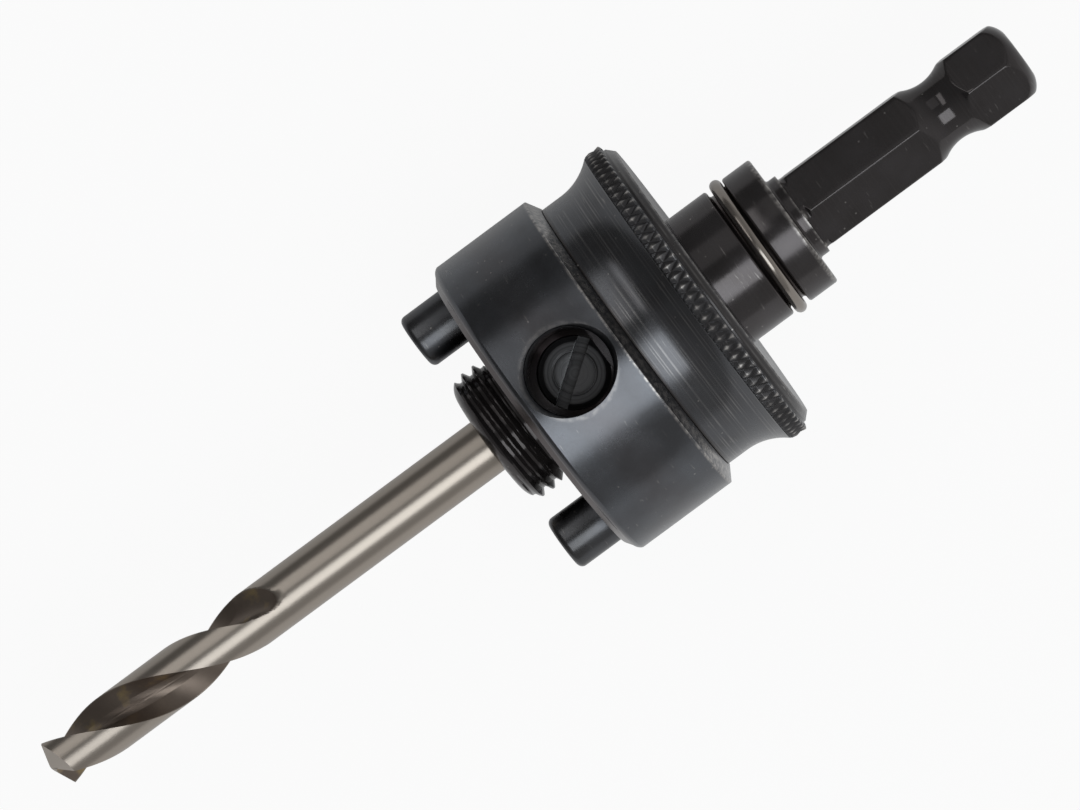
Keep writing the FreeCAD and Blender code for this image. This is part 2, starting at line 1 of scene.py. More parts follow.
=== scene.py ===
# Hole saw arbor, lying on its side: blacked steel arbor, drive collar and pull sleeve, bright pilot
# drill and wire ring. Lengths are in metres, as the frame gives them; MM turns millimetres into them.
import math

import bpy
import numpy as np
from mathutils import Matrix, Vector


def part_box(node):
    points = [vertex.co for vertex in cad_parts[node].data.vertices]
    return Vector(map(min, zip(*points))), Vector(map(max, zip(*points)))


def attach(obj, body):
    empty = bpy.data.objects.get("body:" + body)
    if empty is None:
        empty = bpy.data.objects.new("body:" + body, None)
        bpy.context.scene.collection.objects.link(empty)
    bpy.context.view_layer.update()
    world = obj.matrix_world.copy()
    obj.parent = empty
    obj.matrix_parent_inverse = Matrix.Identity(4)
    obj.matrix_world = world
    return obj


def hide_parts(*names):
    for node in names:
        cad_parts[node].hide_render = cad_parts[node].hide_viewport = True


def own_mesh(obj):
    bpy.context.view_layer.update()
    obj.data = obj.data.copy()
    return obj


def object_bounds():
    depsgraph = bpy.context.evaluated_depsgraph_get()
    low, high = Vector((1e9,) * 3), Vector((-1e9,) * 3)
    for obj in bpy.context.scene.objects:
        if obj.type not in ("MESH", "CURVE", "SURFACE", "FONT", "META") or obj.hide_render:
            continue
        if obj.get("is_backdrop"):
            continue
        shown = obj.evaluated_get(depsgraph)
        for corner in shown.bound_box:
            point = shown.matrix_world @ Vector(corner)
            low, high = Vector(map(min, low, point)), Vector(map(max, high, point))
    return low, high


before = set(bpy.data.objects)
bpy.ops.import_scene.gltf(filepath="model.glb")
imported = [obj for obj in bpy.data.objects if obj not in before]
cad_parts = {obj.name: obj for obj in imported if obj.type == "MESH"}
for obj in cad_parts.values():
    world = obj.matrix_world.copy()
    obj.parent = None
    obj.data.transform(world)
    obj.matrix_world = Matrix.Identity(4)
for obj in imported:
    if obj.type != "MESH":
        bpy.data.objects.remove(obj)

cad_low, cad_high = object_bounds()
MM = 0.001


# Arbor body. One bar of alloy steel, turned, milled and threaded, then blacked in a hot oxide bath,
# which leaves a thin dark film that shines where the tool left the steel smooth.
def linear(code):
    """The linear colour of an sRGB hex value."""
    parts = [int(code[place : place + 2], 16) / 255 for place in (1, 3, 5)]
    curve = [part / 12.92 if part <= 0.04045 else ((part + 0.055) / 1.055) ** 2.4 for part in parts]
    return (*curve, 1.0)


def fill(tree, node, inputs):
    """Links or sets these inputs of a node, given as nodes, sockets or plain values."""
    for place, value in inputs.items():
        if isinstance(value, bpy.types.Node):
            value = next(socket for socket in value.outputs if socket.enabled)
        if isinstance(value, bpy.types.NodeSocket):
            tree.links.new(value, node.inputs[place])
        elif value is not None:
            node.inputs[place].default_value = value
    return node


def add(tree, kind, *inputs, named=None, **settings):
    """Adds a node. Its inputs are nodes, sockets or plain values, given in order or by name."""
    node = tree.nodes.new(kind)
    for name, value in settings.items():
        setattr(node, name, value)
    return fill(tree, node, {**dict(enumerate(inputs)), **(named or {})})


def shader(name):
    """A new material, with its tree and its main shader."""
    material = bpy.data.materials.new(name)
    material.use_nodes = True
    return material, material.node_tree, material.node_tree.nodes["Principled BSDF"]


def rounded(outline, edge, steps=4):
    """The outline with each of its corners broken to this radius."""
    points = [np.array(outline[0], float)]
    for before, corner, after in zip(outline, outline[1:], outline[2:]):
        before, corner, after = (np.array(point, float) for point in (before, corner, after))
        back, ahead = before - corner, after - corner
        room = min(np.linalg.norm(back), np.linalg.norm(ahead)) * 0.45
        back, ahead = back / np.linalg.norm(back), ahead / np.linalg.norm(ahead)
        half = math.acos(np.clip(back @ ahead, -1, 1)) / 2
        if math.pi / 2 - half < math.radians(4):
            points.append(corner)
            continue
        run = min(edge / math.tan(half), room)
        radius = run * math.tan(half)
        middle = (back + ahead) / np.linalg.norm(back + ahead)
        centre = corner + middle * radius / math.sin(half)
        start, end = corner + back * run - centre, corner + ahead * run - centre
        sweep = math.pi - 2 * half
        for step in range(steps + 1):
            share = step / steps
            near, far = math.sin((1 - share) * sweep), math.sin(share * sweep)
            points.append(centre + (start * near + end * far) / math.sin(sweep))
    points.append(np.array(outline[-1], float))
    return np.array(points)


def arc(start, end, radius, steps=24):
    """Points from start to end on an arc. Its centre is on the left of the way for a positive radius."""
    start, end = np.array(start, float), np.array(end, float)
    chord = end - start
    length = np.linalg.norm(chord)
    left = np.array((-chord[1], chord[0])) / length
    rise = math.sqrt(radius**2 - (length / 2) ** 2)
    centre = (start + end) / 2 + left * math.copysign(rise, radius)
    first = math.atan2(*(start - centre)[::-1])
    turn = 2 * math.asin(length / 2 / abs(radius)) * math.copysign(1, radius)
    angles = first + turn * np.arange(steps + 1) / steps
    return [centre + abs(radius) * np.array((math.cos(angle), math.sin(angle))) for angle in angles]


def skin(name, rings, smooth=30):
    """A closed mesh from rings of points, in millimetres, each end closed at its middle."""
    rings = np.asarray(rings)
    count, around = rings.shape[:2]
    points = [*rings.reshape(-1, 3), rings[0].mean(0), rings[-1].mean(0)]
    first, last = count * around, count * around + 1
    faces = []
    for row in range(count - 1):
        for column in range(around):
            following = (column + 1) % around
            here, there = row * around, (row + 1) * around
            faces.append((here + column, here + following, there + following, there + column))
    for column in range(around):
        following = (column + 1) % around
        faces.append((first, following, column))
        faces.append((last, (count - 1) * around + column, (count - 1) * around + following))
    mesh = bpy.data.meshes.new(name)
    mesh.from_pydata([tuple(point * MM) for point in points], [], faces)
    mesh.validate()
    mesh.shade_smooth()
    mesh.set_sharp_from_angle(angle=math.radians(smooth))
    piece = bpy.data.objects.new(name, mesh)
    bpy.context.scene.collection.objects.link(piece)
    return piece


def polar(along, radius, angle):
    """Points from their place along the axis, their radius and their angle from +Y towards +Z."""
    along, radius, angle = np.broadcast_arrays(along, radius, angle)
    return np.stack((along, radius * np.cos(angle), radius * np.sin(angle)), -1)


bar_low, bar_high = (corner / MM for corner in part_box("arbor_body"))
NOSE, SHANK_END = bar_low.x, bar_high.x
BORE, BORE_END = 3.2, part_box("pilot_drill")[1].x / MM + 0.6
CREST, LEAD_IN, LEAD_RUN, LEAD_ARC, FACE_EDGE = 7.94, 6.49, 1.3, 2.4, 5.69
THREAD_PITCH, THREAD_DEPTH, THREAD_START = 25.4 / 18, 0.74, -3.42
THREAD_FLAT, THREAD_FLANK, THREAD_STEP = 0.14, 0.62, 0.055
THREAD_RELIEF, RELIEF_RADIUS, RUN_OUT = -0.75, 7.05, 0.9
BOSS, BOSS_FLAT, BOSS_REAR = bar_high.z, 9.0, 10.6
BARREL, GROOVE_FLOOR, GROOVE = 8.1, 7.25, (29.4, 31.5)
FLANGE_REAR, NECK, NECK_REAR = 35.2, 5.0, 36.95
HEX_FLAT, HEX_CORNER, HEX_ROOT, HEX_TURN = 4.4, 5.05, 4.65, math.radians(6.5)
HEX_EDGE, HEX_EDGE_REACH = 0.03, 0.12
DETENT, DETENT_FLOOR, DETENT_ARC = 54.95, 3.72, 4.7
SCREW_X, SCREW_HOLE = 7.0, 4.0
END_RUN, END_RADIUS, END_ARC = 2.2, 2.9, 2.9

# the outline runs from the bottom of the bore, round the nose, to the end of the shank
half_detent = math.sqrt(DETENT_ARC**2 - (DETENT_ARC + DETENT_FLOOR - HEX_CORNER) ** 2)
lead_in = arc((NOSE, FACE_EDGE), (NOSE + LEAD_RUN, CREST), -LEAD_ARC, 10)
nose = [(BORE_END + BORE / 1.7, 0.01), (BORE_END, BORE), (NOSE + 0.1, BORE), (NOSE, BORE + 0.1), *lead_in]
thread_ends = THREAD_RELIEF - 1.2 * THREAD_DEPTH
thread_rows = np.arange(NOSE + 0.15, THREAD_RELIEF + 0.001, THREAD_STEP)
seat = rounded([(THREAD_RELIEF, RELIEF_RADIUS), (0, RELIEF_RADIUS), (0, BOSS), (BOSS_REAR, BOSS)], 0.15)
barrel = rounded(
    [
        (BOSS_REAR, BOSS - 1),
        (BOSS_REAR, BARREL),
        (GROOVE[0], BARREL),
        (GROOVE[0], GROOVE_FLOOR),
        (GROOVE[1], GROOVE_FLOOR),
        (GROOVE[1], BARREL),
        (FLANGE_REAR, BARREL),
        (FLANGE_REAR, NECK),
        (NECK_REAR - 0.5, NECK),
        (NECK_REAR, HEX_ROOT),
        (NECK_REAR + 0.3, HEX_CORNER),
        (DETENT - half_detent, HEX_CORNER),
    ],
    0.3,
)
detent = arc((DETENT - half_detent, HEX_CORNER), (DETENT + half_detent, HEX_CORNER), DETENT_ARC)
shank = [(x, HEX_CORNER) for x in np.linspace(DETENT + half_detent, SHANK_END - END_RUN, 5)]
end = arc((SHANK_END - END_RUN, HEX_CORNER), (SHANK_END, END_RADIUS), -END_ARC, 12)
thread = [(x, CREST) for x in thread_rows if x > NOSE + LEAD_RUN]
outline = [*nose, *thread, *seat[1:-1], (BOSS_REAR, BOSS), *barrel[:-1], *detent, *shank[1:], *end[1:]]
SECTORS, IN_SECTOR = 6, 40


def bar_ring(x, radius):
    """One ring of the bar, with the thread, the boss's flats or the hex where it has them. On the hex,
    the points gather at the edges between its flats and corners."""
    local = (np.arange(IN_SECTOR) + 0.5) / IN_SECTOR * 2 - 1
    sectors = np.arange(SECTORS) * 2 * math.pi / SECTORS
    sixth = math.pi / SECTORS
    if x < NECK_REAR - 0.51:
        angle = (sectors[:, None] + local[None, :] * sixth).ravel() + HEX_TURN
        reach = np.full(angle.shape, radius)
        if -0.01 < x < BOSS_REAR + 0.01 and radius > BOSS_FLAT:
            reach = np.minimum(reach, BOSS_FLAT / np.maximum(np.abs(np.cos(angle)), 1e-6))
        if NOSE < x <= THREAD_RELIEF + 0.01 and radius > RELIEF_RADIUS:
            turns = (x - THREAD_START) / THREAD_PITCH - angle / (2 * math.pi)
            from_crest = np.abs((turns + 0.5) % 1 - 0.5) * 2
            depth = THREAD_DEPTH * np.clip((from_crest - THREAD_FLAT) / THREAD_FLANK, 0, 1)
            last = CREST - max(0, x - thread_ends) / RUN_OUT
            reach = np.minimum(np.minimum(CREST - depth, radius), max(last, RELIEF_RADIUS))
        return polar(x, reach, angle)
    edge = math.acos(min(HEX_FLAT / max(radius, HEX_FLAT), math.cos(math.radians(8))))
    beyond = min(edge + 0.05, sixth - 0.01)
    places = (-sixth, -beyond, 0.05 - edge, 0, edge - 0.05, beyond, sixth)
    bend = np.interp(local, (-1, -0.84, -0.62, 0, 0.62, 0.84, 1), places)
    angle = (sectors[:, None] + bend[None, :]).ravel()
    flat = HEX_FLAT / np.cos(np.tile(bend, SECTORS))
    gap = np.maximum(HEX_EDGE_REACH - np.abs(flat - radius), 0) / HEX_EDGE_REACH
    reach = np.minimum(flat, radius) - gap**2 * HEX_EDGE
    return polar(x, reach, angle + HEX_TURN)


def cut_away(piece, tool):
    """Cuts the tool's shape out of the piece, and deletes the tool."""
    cut = piece.modifiers.new("cut", "BOOLEAN")
    cut.object, cut.operation, cut.solver = tool, "DIFFERENCE", "EXACT"
    bpy.context.view_layer.update()
    evaluated = piece.evaluated_get(bpy.context.evaluated_depsgraph_get())
    mesh = bpy.data.meshes.new_from_object(evaluated)
    piece.modifiers.remove(cut)
    piece.data = mesh
    bpy.data.objects.remove(tool)


def upright(outline):
    """Rings round the set screw's axis, from (height, radius) points."""
    angles = np.arange(128) * 2 * math.pi / 128
    return [
        np.stack((SCREW_X + radius * np.cos(angles), radius * np.sin(angles), np.full(128, height)), -1)
        for height, radius in outline
    ]


arbor = skin("arbor_bar", [bar_ring(x, radius) for x, radius in outline])
cut_away(arbor, skin("screw_hole", upright([(0, SCREW_HOLE), (BOSS + 2, SCREW_HOLE)])))
arbor.data.set_sharp_from_angle(angle=math.radians(30))


def zones(tree, first, second, places):
    """How near a point lies to any of these edges, each given by both of its coordinates, the width
    of the band and its share, in millimetres."""
    total = None
    for first_place, second_place, width, share in places:
        off = []
        for value, edge in ((first, first_place), (second, second_place)):
            apart = add(tree, "ShaderNodeMath", value, edge * MM, operation="SUBTRACT")
            off.append(add(tree, "ShaderNodeMath", apart, 2.0, operation="POWER"))
        distance = add(tree, "ShaderNodeMath", *off, operation="ADD")
        distance = add(tree, "ShaderNodeMath", distance, operation="SQRT")
        band = add(tree, "ShaderNodeMapRange", distance, width * 0.3 * MM, width * MM, share, 0.0)
        total = band if total is None else add(tree, "ShaderNodeMath", total, band, operation="MAXIMUM")
    return total


def black_oxide(name, tones, rough=0.29, worn_and_lit=(), rim_glints=(), oily_and_shaded=(), browned_and_reflected=(), smooth=(), streaks=0.0):
    """Hot black oxide on turned steel: to the eye a dark sheen of two tones that oil marks in clouds. The
    lists are places as zones takes them, rim glints round the set screw's axis: worn edges are bare and
    grey, and the same grey paints highlights on the collar's rear bevel and round the screw hole; oily
    and browned places are darker, though in the knurl's grooves the dark is painted shade and in the
    barrel's groove the brown is a painted reflection of the wire; smooth ones shine."""
    material, tree, main = shader(name)
    place = add(tree, "ShaderNodeTexCoord").outputs["Object"]
    split = add(tree, "ShaderNodeSeparateXYZ", place)
    along = split.outputs["X"]
    squares = [add(tree, "ShaderNodeMath", split.outputs[axis], 2.0, operation="POWER") for axis in "YZ"]
    radius = add(tree, "ShaderNodeMath", *squares, operation="ADD")
    radius = add(tree, "ShaderNodeMath", radius, operation="SQRT")
    path = add(tree, "ShaderNodeMath", along, radius, operation="ADD")

    # the tool's marks run round the piece, the oxide has a fine grain, and the oil dried in clouds
    marks = add(tree, "ShaderNodeTexNoise", noise_dimensions="1D", named={"W": path, "Scale": 5000.0})
    grain = add(tree, "ShaderNodeTexNoise", place, named={"Scale": 3300.0, "Detail": 4.0})
    clouds = add(tree, "ShaderNodeTexNoise", place, named={"Scale": 250.0, "Detail": 6.0})
    shade = add(tree, "ShaderNodeMapRange", clouds, 0.35, 0.65)
    dark, pale = (linear(tone) for tone in tones)
    colour = add(tree, "ShaderNodeMix", shade, data_type="RGBA", named={"A": dark, "B": pale})
    metal = 1.0
    for places, code in ((browned_and_reflected, "#635855"), (oily_and_shaded, "#2b2624")):
        if places:
            share = zones(tree, along, radius, places)
            stain_and_painted_light = {"A": colour, "B": linear(code)}
            colour = add(tree, "ShaderNodeMix", share, data_type="RGBA", named=stain_and_painted_light)
            if places is oily_and_shaded:
                metal = add(tree, "ShaderNodeMapRange", share, 0.0, 1.0, 1.0, 0.35)

    # rubbed edges show grey, broken up by nicks, and the same grey is a painted highlight where the lists
    # ask for it; fine scratches and a few specks lie all over
    stretched = add(tree, "ShaderNodeMapping", place, named={"Scale": (3.0, 0.35, 0.35)})
    scratch = add(tree, "ShaderNodeTexNoise", stretched, named={"Scale": 1250.0, "Detail": 3.0})
    scratch = add(tree, "ShaderNodeMapRange", scratch, 0.68, 0.78, 0.0, 0.35)
    speck = add(tree, "ShaderNodeTexVoronoi", place, named={"Scale": 590.0})
    speck = add(tree, "ShaderNodeMapRange", speck, 0.03, 0.08, 0.5, 0.0)
    light = add(tree, "ShaderNodeMath", scratch, speck, operation="MAXIMUM")
    nicks = add(tree, "ShaderNodeTexNoise", place, named={"Scale": 1650.0, "Detail": 6.0})
    nicks = add(tree, "ShaderNodeMapRange", nicks, 0.38, 0.62, 0.2, 1.4)
    rubbed = add(tree, "ShaderNodeAttribute", attribute_name="rubbed").outputs["Fac"]
    wear_and_glints = zones(tree, along, radius, worn_and_lit) if worn_and_lit else 0.0
    # the rim of the hole round the set screw's axis gets that grey as a painted highlight
    if rim_glints:
        centred = add(tree, "ShaderNodeVectorMath", place, (SCREW_X * MM, 0, 0), operation="SUBTRACT")
        level = add(tree, "ShaderNodeVectorMath", centred, (1, 1, 0), operation="MULTIPLY")
        reach = add(tree, "ShaderNodeVectorMath", level, operation="LENGTH").outputs["Value"]
        wear_and_glints = add(tree, "ShaderNodeMath", wear_and_glints, zones(tree, reach, radius, rim_glints), operation="MAXIMUM")
    wear_and_glints = add(tree, "ShaderNodeMath", wear_and_glints, rubbed, operation="MAXIMUM")
    wear_and_glints = add(tree, "ShaderNodeMath", wear_and_glints, nicks, operation="MULTIPLY")
    wear_and_glints = add(tree, "ShaderNodeMath", wear_and_glints, light, operation="MAXIMUM", use_clamp=True)
    bared_and_lit = add(tree, "ShaderNodeMix", wear_and_glints, data_type="RGBA", named={"A": colour, "B": linear("#b5b1ad")})

    # the cutting edge left brighter rings here and there, which the oil covers in patches
    lathe = add(tree, "ShaderNodeTexNoise", noise_dimensions="1D", named={"W": along, "Scale": 4500.0})
    lathe = add(tree, "ShaderNodeMapRange", lathe, 0.5, 0.72, 0.0, streaks)
    patches = add(tree, "ShaderNodeMapRange", clouds, 0.4, 0.62, 1.0, 0.0)
    lathe = add(tree, "ShaderNodeMath", lathe, patches, operation="MULTIPLY")
    ringed = add(tree, "ShaderNodeMix", lathe, data_type="RGBA", named={"A": bared_and_lit, "B": linear("#c9c7c4")})
    rough = add(tree, "ShaderNodeMapRange", clouds, 0.3, 0.7, rough - 0.04, rough + 0.04)
    mottled = add(tree, "ShaderNodeMapRange", grain, 0.3, 0.7, -0.02, 0.02)
    rough = add(tree, "ShaderNodeMath", rough, mottled, operation="ADD")
    if smooth:
        share = zones(tree, along, radius, smooth)
        rough = add(tree, "ShaderNodeMix", share, named={"A": rough, "B": 0.1})
    fine = add(tree, "ShaderNodeBump", 0.25, 0.004 * MM, named={"Height": grain})
    ridges = add(tree, "ShaderNodeBump", 0.3, 0.004 * MM, named={"Height": marks, "Normal": fine})
    fill(tree, main, {"Base Color": ringed, "Metallic": metal, "Roughness": rough, "Normal": ridges})
    return material


arbor_steel = black_oxide(
    "black_oxide_turned_steel",
    ("#524f4f", "#5b5859"),
    rough=0.19,
    worn_and_lit=[
        (NOSE + 0.3, LEAD_IN, 0.9, 0.3),
        (FLANGE_REAR - 0.1, BARREL - 0.1, 0.5, 0.6),
        (NECK_REAR - 0.5, NECK, 0.3, 0.5),
        (SHANK_END - 0.1, END_RADIUS, 0.35, 0.3),
    ],
    oily_and_shaded=[(-2, CREST, 4.2, 0.75), (52, HEX_FLAT, 40, 0.4)],
    # the browned place on the groove's floor under the stop ring is a painted reflection of the wire
    browned_and_reflected=[(GROOVE[0] + 1, GROOVE_FLOOR, 1.6, 0.6)],
    smooth=[(DETENT, DETENT_FLOOR, 7, 0.9), (-2.4, CREST, 5, 0.8)],
    streaks=0.02,
)
arbor.data.materials.append(arbor_steel)
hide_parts("arbor_body")
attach(arbor, "arbor")


# Pilot drill. High speed steel rod, its two flutes ground along a helix and its point ground as two
# leaning cones; the land is ground bright, and the flutes keep the brown of the heat treatment.
drill_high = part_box("pilot_drill")[1] / MM
DRILL = drill_high.y
TIP, DRILL_REAR = -65.0, drill_high.x
FLUTE_LEAD, FLUTE_CROSSING, FLUTE_END, FLUTE_RUN = 39.0, 12.7, TIP + 31.5, 7.5
HALF_GAP, FLOOR_TURN, WEB = math.radians(49), math.radians(12), 0.65
HALF_POINT, LEAN, LEAN_TURN, CHISEL = math.radians(74), math.radians(20), math.radians(105), 0.25

# the flute's section is a circle through lip, floor and heel; its centre lies on their middle line
lip = np.array((math.cos(HALF_GAP), math.sin(HALF_GAP))) * DRILL
floor_point = np.array((math.cos(FLOOR_TURN), math.sin(FLOOR_TURN))) * WEB
flute_centre = (lip @ lip - floor_point @ floor_point) / (2 * (lip[0] - floor_point[0]))
flute_radius = math.dist(lip, (flute_centre, 0))
rise = DRILL - (flute_centre - flute_radius)
wheel = (FLUTE_RUN**2 + rise**2) / (2 * rise)


def drill_radius(along, across):
    """The drill's radius at this place and at this angle from the middle of its first flute."""
    into = np.clip(along - (FLUTE_END - FLUTE_RUN), 0, FLUTE_RUN)
    centre = flute_centre + wheel - np.sqrt(wheel**2 - into**2)
    across = np.abs((across + math.pi / 2) % math.pi - math.pi / 2)
    inside = flute_radius**2 - (centre * np.sin(across)) ** 2
    flute = centre * np.cos(across) - np.sqrt(np.maximum(inside, 0))
    return np.where((inside > 0) & (across < HALF_GAP), np.clip(flute, WEB, DRILL), DRILL)


def flute_angle(along):
    """Where the first flute faces at this place along the drill."""
    return math.pi / 2 + 2 * math.pi * (along - TIP - FLUTE_CROSSING) / FLUTE_LEAD


def point_face(radius, angle):
    """How far back the ground point lies at this radius and angle."""
    face = np.full(np.shape(angle), -1e9)
    lip_angle = math.pi / 2 - 2 * math.pi * FLUTE_CROSSING / FLUTE_LEAD + HALF_GAP
    for opposite in (0, math.pi):
        behind = lip_angle + LEAN_TURN + opposite
        across = radius * np.cos(angle - behind) + CHISEL
        aside = radius * np.sin(angle - behind)
        lean, off = math.cos(LEAN), -math.sin(LEAN) * across
        square = math.cos(HALF_POINT) ** 2
        inner = (off * lean) ** 2 - (lean**2 - square) * (off**2 - square * (across**2 + aside**2))
        face = np.maximum(face, TIP + (-off * lean + np.sqrt(np.maximum(inner, 0))) / (lean**2 - square))
    return face


# the mesh starts at the point: the front edge is found where the sides meet the ground faces
gap_angles = np.linspace(-HALF_GAP, HALF_GAP, 61)
land_angles = np.linspace(HALF_GAP, math.pi - HALF_GAP, 49)[1:-1]
half_round = np.concatenate((gap_angles, land_angles))
columns = np.concatenate((half_round, half_round + math.pi))
start = np.full(columns.shape, TIP)
for _ in range(12):
    start = point_face(drill_radius(start, columns), flute_angle(start) + columns)
point_angles = flute_angle(start) + columns
point_radii = drill_radius(start, columns)
rings = [
    polar(point_face(point_radii * share, point_angles), point_radii * share, point_angles)
    for share in np.linspace(0.02, 0.98, 16)
]

# the sides follow: fluted rows that fade in from the point, then the plain rod
fluted, plain_rod = np.arange(TIP + 4, FLUTE_END + 0.2, 0.3), np.linspace(FLUTE_END + 1, DRILL_REAR - 0.4, 24)
for share in np.linspace(0, 1, 14)[:-1]:
    row = start + (fluted[0] - start) * share
    rings.append(polar(row, drill_radius(row, columns), flute_angle(row) + columns))
straight = flute_angle(fluted[-1])
for row in (*fluted, *plain_rod):
    turn = min(flute_angle(row), straight)
    rings.append(polar(row, drill_radius(row, columns), turn + columns))
rings.append(polar(DRILL_REAR, DRILL - 0.4, straight + columns))
drill = skin("twist_drill", rings, smooth=32)

# how deep a point lies below the land, for the flutes' own colour
depth = drill.data.attributes.new("flute_depth", "FLOAT", "POINT")
radii = np.array([math.hypot(vertex.co.y, vertex.co.z) / MM for vertex in drill.data.vertices])
radii[: 16 * len(columns)] = radii[-2] = DRILL
depth.data.foreach_set("value", (DRILL - radii) / DRILL)

# ground steel: a soft bright sheen on the lands, brown with a breath of straw down in the flutes
steel, tree, main = shader("ground_high_speed_steel")
place = add(tree, "ShaderNodeTexCoord").outputs["Object"]
along = add(tree, "ShaderNodeSeparateXYZ", place).outputs["X"]
deep = add(tree, "ShaderNodeAttribute", attribute_name="flute_depth").outputs["Fac"]
in_flute = add(tree, "ShaderNodeMapRange", deep, 0.004, 0.05)
smoke = add(tree, "ShaderNodeTexNoise", place, named={"Scale": 300.0, "Detail": 4.0})
tones = {"A": linear("#6b6058"), "B": linear("#8d8176")}
brown = add(tree, "ShaderNodeMix", smoke, data_type="RGBA", named=tones)
straw = add(tree, "ShaderNodeMapRange", smoke, 0.56, 0.72, 0.0, 0.6)
brown = add(tree, "ShaderNodeMix", straw, data_type="RGBA", named={"A": brown, "B": linear("#bba36c")})
blend = add(tree, "ShaderNodeMix", in_flute, data_type="RGBA", named={"A": linear("#a9a096"), "B": brown})
lines = {"W": along, "Scale": 5000.0, "Detail": 2.0}
ground = add(tree, "ShaderNodeTexNoise", noise_dimensions="1D", named=lines)
rough = add(tree, "ShaderNodeMapRange", ground, 0.3, 0.7, 0.28, 0.3)
rough = add(tree, "ShaderNodeMath", in_flute, 0.12, rough, operation="MULTIPLY_ADD")
bump = add(tree, "ShaderNodeBump", 0.012, 0.002 * MM, named={"Height": ground})
fill(tree, main, {"Base Color": blend, "Metallic": 1.0, "Roughness": rough, "Normal": bump})
drill.data.materials.append(steel)
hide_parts("pilot_drill")
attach(drill, "arbor")


# Drive collar. A thick steel ring turned from bar, bevelled at both ends and blacked, with a
# countersunk hole drilled through its wall for the screwdriver; its broached bore has two flats, which
# slide on the boss's.
def cylinder_normals(piece, radius, slack=0.02):
    """Gives the faces on this radius the normals of a true cylinder, so a cut leaves no mark in them."""
    mesh = piece.data
    normals = [Vector(corner.vector) for corner in mesh.corner_normals]
    for face in mesh.polygons:
        outward = Vector((0, face.center.y, face.center.z)).normalized()
        if face.normal.dot(outward) < 0.999:
            continue
        for corner in face.loop_indices:
            vertex = mesh.vertices[mesh.loops[corner].vertex_index].co
            if abs(math.hypot(vertex.y, vertex.z) / MM - radius) < slack:
                normals[corner] = Vector((0, vertex.y, vertex.z)).normalized()
    mesh.normals_split_custom_set(normals)


collar_low, collar_high = (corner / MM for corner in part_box("drive_collar"))
COLLAR, COLLAR_FRONT, COLLAR_REAR = collar_high.z, collar_low.x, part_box("pull_sleeve")[0].x / MM
SPIGOT, SPIGOT_BORE, WEB_REAR, SLIDE = 14.6, 13.3, 12.7, BARREL + 0.05
BORE_FLAT, BORE_ROUND = BOSS_FLAT + 0.05, BOSS + 0.05
ACCESS, ACCESS_SINK, PIN_SHANK = 4.7, 0.7, 2.9
collar_outline = rounded(
    [
        (BOSS_REAR, SLIDE),
        (BOSS_REAR, BORE_ROUND),
        (COLLAR_FRONT, BORE_ROUND),
        (COLLAR_FRONT, COLLAR - 1.5),
        *arc((COLLAR_FRONT + 0.55, COLLAR - 0.7), (COLLAR_FRONT + 1.2, COLLAR), -1.15, 10),
        (COLLAR_REAR - 0.95, COLLAR),
        (COLLAR_REAR, COLLAR - 1.6),
        (COLLAR_REAR, SPIGOT),
        (collar_high.x, SPIGOT),
        (collar_high.x, SPIGOT_BORE),
        (WEB_REAR, SPIGOT_BORE),
        (WEB_REAR, SLIDE),
        (BOSS_REAR, SLIDE),
    ],
    0.12,
)


def turned_ring(name, outline, around=256):
    """A ring turned about the axis, from an outline that ends where it starts."""
    outline = np.asarray(outline)[:-1]
    angles = np.arange(around) * 2 * math.pi / around
    points = polar(outline[:, :1], outline[:, 1:], angles[None, :]).reshape(-1, 3)
    count = len(outline)
    faces = []
    for row in range(count):
        for column in range(around):
            here, there = row * around, (row + 1) % count * around
            following = (column + 1) % around
            faces.append((here + column, here + following, there + following, there + column))
    mesh = bpy.data.meshes.new(name)
    mesh.from_pydata([tuple(point * MM) for point in points], [], faces)
    mesh.shade_smooth()
    mesh.set_sharp_from_angle(angle=math.radians(30))
    piece = bpy.data.objects.new(name, mesh)
    bpy.context.scene.collection.objects.link(piece)
    return piece


collar = turned_ring("collar_ring", collar_outline, 288)

# the bore's round wall moves in to its two flats, then the screwdriver's and the pins' holes are cut
for vertex in collar.data.vertices:
    reach, aside = math.hypot(vertex.co.y, vertex.co.z) / MM, abs(vertex.co.y) / MM
    flat = BORE_FLAT + reach - BORE_ROUND
    if vertex.co.x < (BOSS_REAR + 0.01) * MM and reach < BORE_ROUND + 0.2 and aside > flat:
        vertex.co.y, vertex.co.z = vertex.co.y * flat / aside, vertex.co.z * flat / aside
hole = [(BOSS - 1, ACCESS), (COLLAR - ACCESS_SINK, ACCESS), (COLLAR + 2, ACCESS + ACCESS_SINK + 2)]
cut_away(collar, skin("screwdriver_hole", upright(rounded(hole, 0.35))))
for node in ("drive_pin_left", "drive_pin_right"):
    low, high = (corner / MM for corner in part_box(node))
    angles = np.arange(64) * 2 * math.pi / 64
    pin_hole = polar(np.array([[COLLAR_FRONT - 1], [high.x]]), PIN_SHANK, angles[None, :])
    pin_hole[..., 1] += (low.y + high.y) / 2
    cut_away(collar, skin("pin_hole", pin_hole))
collar.data.set_sharp_from_angle(angle=math.radians(30))
cylinder_normals(collar, COLLAR)
